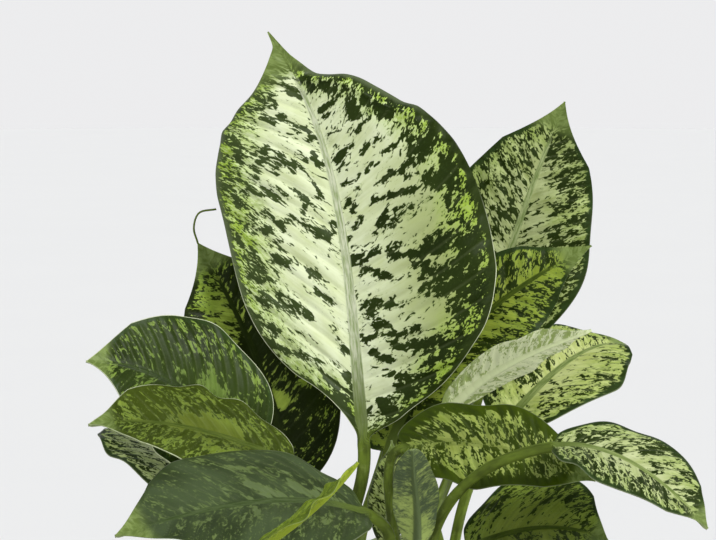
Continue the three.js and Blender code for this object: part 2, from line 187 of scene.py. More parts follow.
# Its larger dark blotches: both ends of each across and along the blade, then its half-width.
TALL_BLOTCHES = [
    (-5, 191, -2, 185, 2), (-16, 192, -15, 185, 1), (-16, 180, -9, 167, 1), (-6, 168, -5, 162, 2),
    (-28, 167, -29, 164, 2), (-23, 158, -17, 149, 3), (-32, 159, -27, 151, 1.5), (-15, 156, -10, 151, 1),
    (-7, 152, -4, 147, 1), (-9, 138, -7, 131, 1), (-21, 139, -12, 126, 1), (-32, 144, -24, 136, 1),
    (-36, 142, -26, 131, 1.5), (-43, 144, -38, 139, 2), (-37, 130, -29, 118, 2), (-25, 123, -7, 110, 2.7),
    (-17, 127, -17, 125, 1.5), (-44, 127, -37, 118, 2.5), (-49, 121, -44, 118, 1.5), (-34, 112, -26, 107, 1),
    (-5, 116, -3, 114, 1), (-35, 102, -25, 95, 2.5), (-49, 108, -44, 96, 3), (-22, 94, -16, 89, 2),
    (-18, 82, -10, 74, 2), (-44, 81, -22, 70, 3.5), (-42, 65, -40, 59, 2), (-40, 55, -27, 47, 2),
    (-25, 48, -16, 43, 1.5), (-10, 62, -5, 49, 2), (-15, 34, -9, 26, 3), (-6, 37, -5, 33, 1.5),
    (-43, 168, -43, 160, 1.5), (-51, 143, -50, 136, 1.5), (-54, 117, -52, 111, 2), (-50, 94, -44, 89, 1.5),
    (4, 192, 6, 187, 2), (10, 187, 15, 181, 2), (5, 174, 8, 173, 3), (8, 173, 16, 177, 1),
    (21, 171, 21, 159, 2.5), (21, 160, 28, 162, 1), (29, 170, 38, 160, 2.5), (5, 162, 9, 162, 1),
    (5, 148, 12, 151, 1.5), (5, 134, 16, 137, 1), (8, 123, 7, 120, 2), (2, 107, 11, 116, 1.5),
    (18, 147, 30, 152, 1.5), (29, 144, 35, 147, 1), (44, 141, 57, 147, 3), (14, 137, 20, 138, 1),
    (22, 140, 26, 140, 1), (27, 132, 43, 137, 1.5), (38, 130, 44, 131, 1), (48, 126, 55, 128, 4),
    (21, 123, 42, 125, 1.5), (22, 112, 38, 114, 3.5), (3, 95, 16, 97, 2), (23, 94, 42, 94, 2),
    (42, 96, 66, 97, 5.5), (42, 85, 63, 83, 8.5), (36, 76, 55, 76, 3.5), (65, 93, 65, 72, 4),
    (10, 90, 21, 84, 2), (11, 70, 14, 61, 5.5), (18, 69, 28, 71, 2), (46, 71, 55, 64, 3),
    (62, 73, 68, 64, 3.5), (5, 54, 32, 56, 2), (22, 49, 55, 48, 4), (8, 48, 18, 42, 2),
    (15, 36, 28, 31, 2), (20, 28, 28, 25, 2.5), (11, 22, 15, 15, 2), (5, 19, 4, 17, 1),
    (31, 32, 39, 31, 2), (59, 136, 61, 131, 2), (38, 40, 48, 42, 2),
]
# Pale islands in them, given in the same way.
TALL_ISLANDS = [(50, 89, 58, 93, 1.5), (47, 70, 41, 67, 1.2), (60, 83, 60, 83, 1.2)]
# Broad swellings: place across and along, radius and height.
TALL_BULGES = [(64, 90, 11, 2.2), (-44, 176, 8, 1.6), (30, 160, 10, 1.4), (-35, 60, 12, 1.2)]
# Where a margin rolls under: its side, from and to as shares of the blade's length, how gently it starts and
# ends, then depth and width of the roll and height of the crease beside it.
TALL_ROLLS = [(1, 0.66, 0.9, 0.06, 0.05, 7.5, 8.5, 0.8), (-1, 0.76, 0.93, 0.05, 0.06, 4.0, 7, 0.0)]
ROLL_CREASE_PLACE = 9.5  # the crease's distance from the margin
ROLL_CREASE_HALF_WIDTH = 1.6
# Areas of a half: strength and side, where it starts across and how softly, and how far along it goes and how
# softly it ends. Pale parts are duller in the first area, dark marks fewer in the others.
TALL_DEEPER = [(1, 1, 2, 48, 178, 80)]
TALL_SPARSE = [
    (0.045, 1, 18, 14, 105, 25), (0.06, -1, 8, 14, 165, 70), (0.03, -1, 36, 10, math.inf, 1),
    (0.09, -1, 4, 10, 95, 40),
]
# Where the border has a painted sheen, on the left and on the right half: from, and how softly, as shares of
# the length.
TALL_PAINTED_SHEEN = ((0.2, 0.25), (0.66, 0.08))

# ---- the looks of the leaves ----

# How every leaf looks, unless LOOKS says otherwise. Colours are given as to tone().
USUAL_LOOK = dict(
    blade_rows=110,  # how finely the blade is meshed along and across
    half_columns=26,
    wave=1.5,  # height of the waves in the margin
    waves=3.0,  # how many of them on each side
    bulges=(), rolls=(),
    slopes=(0.62, 0.62),  # how steeply the side veins climb on the left and on the right
    steeper=0.0,  # how much more steeply they do on the right, near the tip
    dark=0.0,  # more of this makes more of the blade dark green
    outer=0.10,  # how much darker it gets towards the margin
    soft=1.0,  # how soft the outlines of the dark patches are
    clumps=0.5,  # how much the patches gather in some places and thin out in others
    blotches=(),  # dark marks, and the pale islands in them
    islands=(),
    spots=(),  # where a dark blade is pale: both ends across and along, and half-width
    deeper=(), sparse=(), sheen=(),
    border=3.2,  # width of the plain green border
    left_thinner=0.0,  # how much narrower it is on the left half
    # painted light: the left half's dark green is lighter where more light falls on it
    left_lighter=0.0,  # how much lighter the dark green is on the left half
    lime=0.6,  # how far the pale parts turn lime green towards the margin
    veins=0.10,  # how far the side veins show as paler lines
    halfway=0.3,  # share of a tone between pale and dark that some patches take
    ribbed=1.0,  # how plainly the midrib shows in its own tone
    under_rib=0.35,  # share of that tone on the underside
    # painted highlight: a thin pale line along the margin, where the edge catches the light
    rim=0.15,  # how plainly a thin pale line runs along the margin
    through=0.16,  # share of the light that comes through the blade
    cream=((176, 187, 122), (206, 213, 160)),  # the pale parts run from one tone to the other
    lime_tone=(160, 188, 70),
    halfway_tone=(112, 132, 60),
    green=((28, 41, 0), (40, 54, 8)),  # and the dark ones
    border_tone=(50, 72, 30),
    rib_tone=(150, 164, 98),
    stalk_tone=(112, 132, 46),
    under_pale=(172, 184, 134),
    under_dark=(112, 132, 78),
)
LOOKS = {
    "tall": dict(
        dark=0.015, outer=0.185, border=4.6, lime=1.5, wave=1.2, waves=3.5, slopes=(0.92, 0.2),
        steeper=0.5, veins=0.05, clumps=0.0, cream=((216, 226, 172), (236, 244, 204)),
        lime_tone=(166, 196, 68), border_tone=(52, 66, 22), rib_tone=(215, 220, 188), halfway=0.25,
        left_thinner=2.0, left_lighter=0.4, rim=1.0, blade_rows=230, half_columns=52, bulges=TALL_BULGES,
        rolls=TALL_ROLLS, blotches=TALL_BLOTCHES, islands=TALL_ISLANDS, deeper=TALL_DEEPER,
        sparse=TALL_SPARSE, sheen=TALL_PAINTED_SHEEN),
    # The back left leaf's many dark marks and its near-black greens, border and midrib are painted shade, as
    # it stands in the tall leaf's shade.
    "left_back": dict(
        dark=0.19, outer=0.04, lime=1.0, soft=6.0, cream=((128, 150, 48), (190, 212, 90)),
        rib_tone=(48, 60, 18), lime_tone=(150, 182, 56),
        spots=((-12, 124, -8, 98, 10), (2, 50, 5, 46, 3), (22, 60, 20, 52, 2)), veins=0.03,
        green=((24, 33, 2), (34, 44, 8)), border_tone=(40, 52, 12)),
    "left_mid": dict(
        dark=0.15, outer=0.03, lime=0.7, soft=7.0, cream=((86, 110, 40), (120, 144, 66)),
        rib_tone=(56, 72, 26), spots=((10, 40, 8, 20, 5),), veins=0.04, green=((37, 50, 10), (52, 68, 20)),
        rim=1.0),
    "left_folded": dict(
        dark=0.03, cream=((84, 97, 26), (104, 117, 42)), green=((49, 61, 6), (64, 77, 14)), soft=6.0,
        spots=((4, 56, 6, 36, 6), (-20, 48, -16, 36, 4)), border_tone=(74, 88, 24), rib_tone=(92, 106, 40),
        veins=0.06, wave=1.7, waves=4.0, rim=0.9),
    # The front left leaf's greyed, bluish tones are its own green under a painted sheen.
    "front_left": dict(
        dark=0.14, lime=0.9, soft=13.0,
        spots=((12, 62, 2, 48, 1.5), (11, 42, 4, 28, 2), (26, 66, 22, 58, 1)),
        cream=((90, 105, 62), (102, 118, 76)), lime_tone=(112, 128, 68), veins=0.05, halfway=0.15,
        rib_tone=(82, 97, 58), green=((44, 55, 28), (72, 86, 54)), border_tone=(58, 72, 36)),
    "front_small": dict(
        cream=((112, 131, 22), (138, 158, 34)), green=((90, 110, 18), (106, 127, 26)), dark=0.02,
        border_tone=(122, 142, 30), rib_tone=(146, 164, 54), under_pale=(158, 176, 50),
        under_dark=(130, 150, 36), veins=0.0),
    "young_front": dict(
        dark=0.09, cream=((120, 142, 78), (150, 172, 104)), under_pale=(178, 197, 112), soft=6.0,
        spots=((3, 8, 4, 36, 5), (-5, 4, -3, 20, 3)), under_rib=0.95, under_dark=(90, 106, 74),
        rib_tone=(98, 114, 76), wave=0.5, veins=0.0),
    "young_back": dict(
        dark=-0.03, wave=0.4, cream=((176, 188, 114), (206, 216, 150)), border=0.8,
        rib_tone=(176, 186, 130), green=((24, 33, 6), (34, 44, 12))),
    "right_tall": dict(dark=0.06, cream=((160, 172, 104), (196, 206, 148)), rib_tone=(172, 184, 128)),
    "right_wide": dict(
        dark=0.05, cream=((120, 136, 34), (152, 166, 64)), rib_tone=(76, 92, 22), veins=0.05),
    "right_pale": dict(
        dark=-0.05, under_pale=(244, 252, 204), under_dark=(168, 188, 108), wave=0.8, soft=1.8),
    "right_near": dict(
        dark=0.06, lime=0.5, cream=((128, 140, 58), (166, 176, 98)), rib_tone=(84, 100, 22),
        green=((42, 56, 0), (58, 74, 6)), border=7.0, border_tone=(62, 79, 2), wave=2.0, veins=0.05,
        slopes=(-0.7, 0.7), ribbed=0.3),
    "right_arching": dict(wave=0.8, dark=0.03),
    "right_low": dict(dark=0.03, cream=((102, 116, 38), (132, 146, 62)), rib_tone=(76, 92, 26), veins=0.05),
    "back_right": dict(dark=-0.02, cream=((184, 196, 106), (214, 222, 150))),
}

# ---- curves and measures ----


def clamp01(t):
    return np.clip(t, 0.0, 1.0)


def smooth(t):
    t = clamp01(t)
    return t * t * (3 - 2 * t)


def mix(a, b, t):
    return a + (b - a) * t


def unit(v):
    v = np.asarray(v, float)
    return v / np.linalg.norm(v)


def bell(distance, size):
    return np.exp(-((distance / size) ** 2))


def bezier(points, t):
    """Places and directions on a cubic curve at the numbers in t."""
    p = [np.asarray(x, float) for x in points]
    t = np.asarray(t, float)[:, None]
    s = 1 - t
    place = s**3 * p[0] + 3 * s**2 * t * p[1] + 3 * s * t**2 * p[2] + t**3 * p[3]
    way = s**2 * (p[1] - p[0]) + 2 * s * t * (p[2] - p[1]) + t**2 * (p[3] - p[2])
    return place, way / np.linalg.norm(way, axis=1, keepdims=True)


def catmull(points, t):
    """Places and directions on a smooth curve through the points."""
    p = np.asarray(points, float)
    p = np.vstack([2 * p[0] - p[1], p, 2 * p[-1] - p[-2]])
    spans = len(p) - 3

    def at(u):
        u = np.clip(np.asarray(u, float) * spans, 0, spans - 1e-9)
        i = u.astype(int)
        f = (u - i)[:, None]
        a, b, c, d = p[i], p[i + 1], p[i + 2], p[i + 3]
        bend, twist = 2 * a - 5 * b + 4 * c - d, 3 * b - a - 3 * c + d
        return 0.5 * (2 * b + (c - a) * f + bend * f**2 + twist * f**3)

    t = np.asarray(t, float)
    way = at(np.minimum(t + 1e-3, 1)) - at(np.maximum(t - 1e-3, 0))
    return at(t), way / np.linalg.norm(way, axis=1, keepdims=True)


def through_points(table, x):
    """A smooth line through a table of (place, value), without overshoot."""
    xs = np.array([row[0] for row in table], float)
    ys = np.array([row[1] for row in table], float)
    steps = np.diff(ys) / np.diff(xs)
    slopes = np.concatenate([steps[:1], np.zeros(len(xs) - 2), steps[-1:]])
    same = steps[:-1] * steps[1:] > 0
    slopes[1:-1][same] = 2 * (steps[:-1] * steps[1:])[same] / (steps[:-1] + steps[1:])[same]
    i = np.clip(np.searchsorted(xs, x, side="right") - 1, 0, len(xs) - 2)
    h = xs[i + 1] - xs[i]
    t = (x - xs[i]) / h
    low = (1 + 2 * t) * (1 - t) ** 2 * ys[i] + t * (1 - t) ** 2 * h * slopes[i]
    high = t**2 * (3 - 2 * t) * ys[i + 1] + t**2 * (t - 1) * h * slopes[i + 1]
    return low + high


def cane_axis(cane, z):
    t = (z - SOIL_TOP) / (cane.height - SOIL_TOP)
    (x0, y0), (x1, y1) = cane.foot, cane.top
    return np.stack([mix(x0, x1, t), mix(y0, y1, t), z + 0 * t], -1)


def cane_radius(cane, z):
    low, high = cane.radii
    return mix(low, high, clamp01((z - SOIL_TOP) / (cane.height - SOIL_TOP)))


def outer_radius(z):
    return mix(POT_BASE_RADIUS, POT_RIM_RADIUS - POT_LIP_STEP, np.asarray(z) / POT_HEIGHT)


def inner_radius(z):
    return outer_radius(z) - POT_WALL


# ---- meshes ----


def new_object(name, data):
    made = bpy.data.objects.new(name, data)
    bpy.context.scene.collection.objects.link(made)
    return made


def new_piece(name, vertices, faces, values, material, replaces=()):
    """One closed mesh from millimetres, with its named values, on the body root."""
    mesh = bpy.data.meshes.new(name)
    mesh.from_pydata((np.asarray(vertices) * MM).tolist(), [], faces)
    for key, numbers in values.items():
        made = mesh.attributes.new(key, "FLOAT", "POINT")
        made.data.foreach_set("value", np.asarray(numbers, np.float32))
    work = bmesh.new()
    work.from_mesh(mesh)
    bmesh.ops.recalc_face_normals(work, faces=work.faces)
    work.to_mesh(mesh)
    work.free()
    mesh.polygons.foreach_set("use_smooth", [True] * len(mesh.polygons))
    mesh.materials.append(material)
    piece = new_object(name, mesh)
    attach(piece, "root")
    for node in replaces:
        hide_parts(node)
    return piece


def ring_quads(rings, around):
    """Quads between closed rings that follow each other."""
    pairs = [(i * around + k, i * around + (k + 1) % around) for i in range(rings - 1) for k in range(around)]
    return [(a, b, b + around, a + around) for a, b in pairs]


def ring_faces(rings, around):
    """The same with a cap on each end."""
    last = range((rings - 1) * around, rings * around)
    return ring_quads(rings, around) + [tuple(range(around))[::-1], tuple(last)]


def lathe(profile, sides):
    """A skin turned round the upright axis from (radius, height) points, of which the ends lie on it."""
    profile = np.asarray(profile, float)
    angle = np.linspace(0, 2 * math.pi, sides, endpoint=False)
    radius, height = profile[1:-1, :1], profile[1:-1, 1:]
    rings = np.stack([radius * np.cos(angle), radius * np.sin(angle), height + 0 * angle], -1)
    vertices = np.vstack([rings.reshape(-1, 3), [[0, 0, profile[0, 1]], [0, 0, profile[-1, 1]]]])
    first, top = len(radius) * sides, (len(radius) - 1) * sides
    faces = ring_quads(len(radius), sides)
    faces += [(first, (k + 1) % sides, k) for k in range(sides)]
    faces += [(first + 1, top + k, top + (k + 1) % sides) for k in range(sides)]
    return vertices, faces


def rounded(corners, steps=5):
    """The line through (radius, height, rounding) corners, with each inner one rounded."""
    places = [np.array(corner[:2], float) for corner in corners]
    line = [places[0]]
    for before, here, after, corner in zip(places, places[1:], places[2:], corners[1:]):
        start, end = here + unit(before - here) * corner[2], here + unit(after - here) * corner[2]
        for t in np.linspace(0, 1, steps):
            line.append((1 - t) ** 2 * start + 2 * t * (1 - t) * here + t**2 * end)
    return line + [places[-1]]


# ---- the shape of a leaf ----


def usual_outline(v, is_blunt):
    """Half the width of a blade, as a share of its width, at shares of its length."""
    body = clamp01(np.sin(math.pi * clamp01(v) ** 0.85)) ** (0.5 if is_blunt else 0.8)
    tip = 1 if is_blunt else 1 - 0.62 * clamp01((v - 0.8) / 0.2)
    return 0.5 * body * tip


def mark_depth(x, y, marks):
    """How deep each place lies in the nearest mark: 1 on its middle line, less outwards."""
    best = np.full(x.shape, -1.0)
    for x0, y0, x1, y1, half in marks:
        dx, dy = x1 - x0, y1 - y0
        t = clamp01(((x - x0) * dx + (y - y0) * dy) / max(dx * dx + dy * dy, 1e-6))
        away = np.hypot(x - x0 - t * dx, y - y0 - t * dy)
        best = np.maximum(best, 1 - away / (half + MARK_FRINGE))
    return best


def area_strength(x, y, areas):
    """How strongly each place lies in areas like those of TALL_SPARSE."""
    total = 0 * x
    for strength, side, start, ease, end, fade in areas:
        total = total + strength * smooth((side * x - start) / ease) * smooth((end - y) / fade)
    return total


def leaf_rows(leaf, blade_rows):
    """The sections from the leaf's foot on the cane to its tip: places, directions and measures."""
    cane = CANES[leaf.cane]
    neck, tip = np.array(leaf.neck, float), np.array(leaf.tip, float)
    rise, settle, face = unit(leaf.rise), unit(leaf.set), unit(leaf.face)
    turn = math.radians(leaf.turn)
    outward = np.array([math.cos(turn), math.sin(turn), 0])
    foot = cane_axis(cane, leaf.node) + outward * (cane_radius(cane, leaf.node) + SHEATH_STANDOFF)
    climb = unit(outward * SHEATH_LEAN + [0, 0, 1])
    stalk_length, blade_length = np.linalg.norm(neck - foot), np.linalg.norm(tip - neck)
    bend = leaf.bend

    ts = np.linspace(0, 1, PETIOLE_ROWS, endpoint=False)
    even = np.linspace(0, 1, blade_rows)
    vs = mix(even, 0.5 - 0.5 * np.cos(math.pi * even), 0.45)
    petiole = [foot, foot + climb * 0.4 * stalk_length, neck - rise * bend * stalk_length, neck]
    blade = [neck, neck + rise * 0.36 * blade_length, tip - settle * 0.33 * blade_length, tip]
    lines = [bezier(petiole, ts), bezier(blade, vs)]
    wisp_rows = WISP_ROWS if leaf.wisp else 0
    if wisp_rows:
        lines.append(catmull([tip, *leaf.wisp], np.linspace(0, 1, wisp_rows + 1)[1:]))
    centre, along = (np.vstack(part) for part in zip(*lines))
    t = np.concatenate([ts, np.ones(len(centre) - PETIOLE_ROWS)])[:, None]
    upward = mix(-outward, face, smooth(t))
    up = upward - along * np.sum(upward * along, 1, keepdims=True)
    up /= np.linalg.norm(up, axis=1, keepdims=True)
    y_blade = np.concatenate([[0], np.cumsum(np.linalg.norm(np.diff(lines[1][0], axis=0), axis=1))])
    y_wisp = y_blade[-1] + np.linspace(0, 20, wisp_rows + 1)[1:]
    return Values(
        centre=centre, along=along, up=up, sideways=np.cross(along, up), t=t,
        v=np.concatenate([np.zeros(PETIOLE_ROWS), vs, np.ones(wisp_rows)])[:, None],
        y=np.concatenate([(ts - 1) * stalk_length, y_blade, y_wisp])[:, None], length=y_blade[-1],
        is_wisp=(np.arange(len(centre)) >= len(centre) - wisp_rows)[:, None])


def leaf_columns(half_columns):
    """Places across a section, from margin to margin, denser on the midrib and at the margins."""
    beyond = np.linspace(0, 1, half_columns + 1)[1:]
    beyond = mix(beyond, 1 - (1 - beyond) ** 1.6, 0.5)
    on_rib = np.concatenate([RIB_STEPS, np.ones(len(beyond))])
    off_rib = np.concatenate([np.zeros(len(RIB_STEPS)), beyond])
    q = RIB_SHARE * on_rib + (1 - RIB_SHARE) * off_rib
    return [np.concatenate([left[::-1], right[1:]])[None, :]
            for left, right in ((-q, q), (on_rib, on_rib), (off_rib, off_rib))]


def blade_plan(leaf, look, rows, columns, rng):
    """The blade laid flat: each vertex's place across, along and from its side vein."""
    q, on_rib, off_rib = columns
    side, v, y = np.sign(q), rows.v, rows.y + 0 * q
    if leaf.outline:
        left, right = (through_points(table, v) for table in leaf.outline)
        half_width = np.where(q < 0, left, right)
    else:
        beat = 2 * math.pi * (v * 2.3 + rng.random()) + side * 1.1
        ripple = 1 + 0.03 * np.sin(beat) * smooth(v * (1 - v) * 6)
        outline = usual_outline(v, leaf.blunt) * leaf.width
        half_width = np.maximum(outline * ripple, 0.5) + 0 * q
    rib = np.minimum(leaf.stalk * (1 - 0.8 * v), half_width * 0.5)
    across = rib * on_rib + (half_width - rib) * off_rib
    left_slope, right_slope = look.slopes
    slope = np.where(q < 0, left_slope, right_slope + look.steeper * v**1.4)
    vein = y - slope * across - VEIN_CURVE * across**2
    spacing = VEIN_SPACING_SHARE * rows.length + VEIN_SPACING_MORE
    from_vein = np.abs((vein / spacing + 0.5) % 1 - 0.5) * spacing
    return Values(
        half_width=half_width, rib=rib, across=across, x=side * across, y=y, edge=half_width - across,
        reach=across / (0.5 * leaf.width), vein=vein, from_vein=from_vein)


def blade_lift(look, plan, width, v, q, phase):
    """The upper side's height: bend, veins, quilting, waves, bulges and rolls."""
    x, y, across, edge = plan.x, plan.y, plan.across, plan.edge
    lift = 0.5 * width * (BLADE_LIFT * plan.reach - BLADE_RECURVE * plan.reach**2)
    veined = smooth((across - plan.rib - 0.5) / 4) * smooth(edge / 5)
    veined = veined * smooth(v / 0.1) * smooth((1 - v) / 0.08)
    swellings = np.sin(plan.vein / 2.9 + 0.12 * x) * np.sin(across / 8 + plan.vein / 15)
    lift = lift - VEIN_DEPTH * veined * bell(plan.from_vein, VEIN_HALF_WIDTH) + QUILTING * veined
    lift = lift + QUILTING * veined * swellings
    beat = 2 * math.pi * look.waves * (v + 0.06 * np.sin(9 * v + phase[0]))
    swing = np.sin(beat + np.where(q < 0, phase[0], phase[1]))
    share = across / np.maximum(plan.half_width, 1)
    lift = lift + look.wave * swing * share**3 * smooth(v * (1 - v) * 7)
    for at_x, at_y, radius, height in look.bulges:
        lift = lift + height * bell(x - at_x, radius) * bell(y - at_y, radius)
    for side, start, end, ease_in, ease_out, depth, wide, crease in look.rolls:
        there = smooth((v - start) / ease_in) * smooth((end - v) / ease_out) * (q * side > 0)
        lift = lift - there * depth * clamp01((wide - edge) / wide) ** 1.4
        lift = lift + there * crease * bell(edge - ROLL_CREASE_PLACE, ROLL_CREASE_HALF_WIDTH)
    return lift


def mark_values(look, plan, v, q):
    """How dark the listed marks make each vertex, and its other differences."""
    patch = 0 * plan.x
    if look.blotches:
        dark, pale = (mark_depth(plan.x, plan.y, marks) for marks in (look.blotches, look.islands))
        patch = np.clip(np.minimum(dark, -pale), -0.35, 1) + 0.2
    elif look.spots:
        patch = -np.clip(1.4 * mark_depth(plan.x, plan.y, look.spots), -0.55, 0.9)
    # The painted sheen: where the tall leaf's border is coloured greyer, as though it caught the light.
    sheen = 0 * v
    if look.sheen:
        left, right = (smooth((v - start) / ease) for start, ease in look.sheen)
        sheen = np.where(q < 0, left, right)
    return dict(
        patch=patch, sheen=sheen, deeper=area_strength(plan.x, plan.y, look.deeper),
        sparse=area_strength(plan.x, plan.y, look.sparse))


def leaf_mesh(name, look):
    """Vertices, faces and named values: sheath, petiole and blade are one skin."""
    given = dict(zip(LEAF_COLUMNS, LEAVES[name]))
    leaf = Values(**{**USUAL_EXTRAS, **given, **LEAF_EXTRAS.get(name, {})})
    rng = np.random.default_rng(sum(map(ord, "leaf_" + name)))
    rows = leaf_rows(leaf, look.blade_rows)
    columns = leaf_columns(look.half_columns)
    q, on_rib, off_rib = columns
    plan = blade_plan(leaf, look, rows, columns, rng)
    phase = rng.random(2) * 2 * math.pi
    v, stalk, width = rows.v, leaf.stalk, leaf.width

    lift = blade_lift(look, plan, width, v, q, phase)
    thickness = mix(BLADE_THICKNESS, MARGIN_THICKNESS, off_rib)
    keel = 1.5 * plan.rib * np.sqrt(np.maximum(1 - on_rib**2, 0))
    bed = 0.35 * np.minimum(plan.rib, 1.5) * (1 - on_rib**2)
    back = leaf.lobe * width * np.minimum(plan.reach, 1) * (1 - smooth(v / 0.45))

    # The petiole's section: round, flat where it clasps the cane, and channelled above.
    widen = smooth(rows.t / 0.55)
    thinnest = np.where(rows.is_wisp, WISP_RADIUS, math.inf)
    half_width = np.minimum(stalk * mix(SHEATH_WIDTH_RATIO, 1, widen), thinnest)
    half_depth = np.minimum(mix(SHEATH_HALF_DEPTH, stalk, widen), thinnest)
    hump = half_depth * np.cos(math.pi / 2 * q) + 0.2
    channel = 0.5 * half_depth * bell(q, 0.4) * (1 - 0.55 * rows.t)

    # The round section spreads into the blade's just past the neck.
    spread = np.where(rows.is_wisp, 0, smooth(v / 0.05))
    x_off = mix(half_width * np.sin(math.pi / 2 * q), plan.x, spread)
    y_off = mix(0 * q, -back, spread)
    top = mix(hump - channel, lift + bed, spread)
    low = mix(-hump, lift - thickness - keel, spread)

    def placed(z):
        parts = (rows.sideways, x_off), (rows.up, z), (rows.along, y_off)
        return rows.centre[:, None] + sum(way[:, None] * size[..., None] for way, size in parts)

    def both(values):
        values = values + 0 * q
        return np.concatenate([values, values[:, ::-1]], 1).ravel()

    grid = np.concatenate([placed(top), placed(low)[:, ::-1]], 1)
    values = dict(
        vein=plan.vein, cross=plan.x, along=plan.y, edge=plan.edge, rib=plan.across - plan.rib,
        fromvein=plan.from_vein, stalk=1 - spread, apex=smooth((v - 0.86) / 0.06),
        base=1 - smooth((v - 0.06) / 0.2), ribbed=1 - smooth((v - 0.8) / 0.09),
        **mark_values(look, plan, v, q))
    values = {key: both(numbers) for key, numbers in values.items()}
    values["under"] = np.concatenate([0 * plan.x, 0 * plan.x + 1], 1).ravel()
    return grid.reshape(-1, 3), ring_faces(*grid.shape[:2]), values


# ---- materials ----


def tone(red, green, blue):
    """A screen colour, 0 to 255, as the linear one that shaders take."""
    parts = [c / 255 for c in (red, green, blue)]
    return (*[c / 12.92 if c <= 0.04045 else ((c + 0.055) / 1.055) ** 2.4 for c in parts], 1.0)


def darkened(colour, factors):
    return tuple(c * factor for c, factor in zip(colour, factors))


class Shader:
    """Adds nodes to a new material or world and joins them."""

    def __init__(self, owner):
        self.owner = owner
        owner.use_nodes = True
        self.tree = owner.node_tree
        self.tree.nodes.clear()

    def node(self, kind, inputs=None, **settings):
        made = self.tree.nodes.new("ShaderNode" + kind)
        for key, value in settings.items():
            setattr(made, key, value)
        for key, value in (inputs or {}).items():
            self.feed(made.inputs[key], value)
        return made

    def feed(self, socket, value):
        if isinstance(value, bpy.types.NodeSocket):
            self.tree.links.new(value, socket)
        else:
            socket.default_value = value

    def value(self, name):
        return self.node("Attribute", attribute_name=name).outputs["Fac"]

    def calc(self, operation, first, *others):
        for other in others:
            first = self.node("Math", {0: first, 1: other}, operation=operation).outputs[0]
        return first

    def add(self, *values):
        return self.calc("ADD", *values)

    def times(self, *values):
        return self.calc("MULTIPLY", *values)

    def swing(self, noise, size):
        """The noise's swing to both sides of its middle."""
        return self.times(self.add(noise, -0.5), size)

    def ramp(self, value, low, high, to_low=0.0, to_high=1.0, soft=False):
        kind = "SMOOTHSTEP" if soft else "LINEAR"
        inputs = {0: value, 1: low, 2: high, 3: to_low, 4: to_high}
        return self.node("MapRange", inputs, interpolation_type=kind).outputs[0]

    def spot(self, x, y, z):
        return self.node("CombineXYZ", {0: x, 1: y, 2: z}).outputs[0]

    def object_place(self):
        return self.node("TexCoord").outputs["Object"]

    def scaled(self, place, *factors):
        return self.node("Mapping", {"Vector": place, "Scale": factors}).outputs[0]

    def noise(self, place, scale=1.0, detail=2.0, rough=0.55, warp=0.0):
        inputs = {"Vector": place, "Scale": scale, "Detail": detail, "Roughness": rough, "Distortion": warp}
        return self.node("TexNoise", inputs).outputs["Fac"]

    def blend(self, share, a, b):
        """A mix of two colours, which are outputs or tones."""
        made = self.node("Mix", {0: share}, data_type="RGBA")
        for socket, colour in ((6, a), (7, b)):
            self.feed(made.inputs[socket], tone(*colour) if isinstance(colour, tuple) else colour)
        return made.outputs[2]

    def shades(self, noise, a, b):
        return self.blend(self.ramp(noise, 0.35, 0.65), a, b)

    def bump(self, height, distance, strength=1.0):
        return self.node("Bump", {"Height": height, "Distance": distance, "Strength": strength}).outputs[0]

    def surface(self, colour, rough, normal=None, specular=0.5):
        inputs = {"Base Color": colour, "Roughness": rough, "Specular IOR Level": specular}
        if normal:
            inputs["Normal"] = normal
        return self.node("BsdfPrincipled", inputs).outputs[0]

    def finish(self, shader, kind="OutputMaterial"):
        self.node(kind, {"Surface": shader})
        return self.owner


def new_shader(name):
    return Shader(bpy.data.materials.new(name))


LEAF_VALUES = "vein cross along edge rib fromvein patch deeper sparse sheen stalk apex base ribbed under"


def leaf_marks(s, look, seed):
    """The mesh's values, noises along the side veins, and the field, above 0 where it is dark."""
    m = Values(**{key: s.value(key) for key in LEAF_VALUES.split()})
    span = s.calc("ABSOLUTE", m.cross, 0.0)
    half = s.ramp(m.cross, -0.1, 0.1, seed, seed + 31)

    def drawn_out(across_vein, along_vein, shift, **settings):
        """Noise with its usual sizes across and along the side veins."""
        place = s.spot(s.times(m.vein, 1 / across_vein), s.times(span, 1 / along_vein), s.add(half, shift))
        return s.noise(place, **settings)

    m.coarse = drawn_out(7.2, 13.5, 0.0, detail=3, rough=0.6, warp=1.1)
    m.medium = drawn_out(2.7, 4.6, 3.3, rough=0.6, warp=0.9)
    m.fine = drawn_out(0.9, 1.4, 7.7)
    m.streak = drawn_out(1.3, 24, 11.1)
    m.broad = drawn_out(24, 30, 17.0, detail=1)
    m.mottle = drawn_out(9, 14, 21.0, detail=3)

    fine_part = s.swing(m.fine, s.ramp(m.edge, 26, 8, 0.12, 0.44))
    ragged = s.add(s.swing(m.coarse, 0.42), s.swing(m.medium, 0.5), fine_part)
    ragged = s.times(ragged, s.ramp(m.edge, 26, 8, 2.3, 3.0))
    outer = s.ramp(m.edge, 34, 8, -0.15, look.outer - 0.13, soft=True)
    marks = s.add(s.times(m.patch, 0.28), s.times(m.deeper, 0.015), s.times(m.sparse, -1))
    m.field = s.add(ragged, s.swing(m.broad, look.clumps), outer, marks, look.dark)
    return m


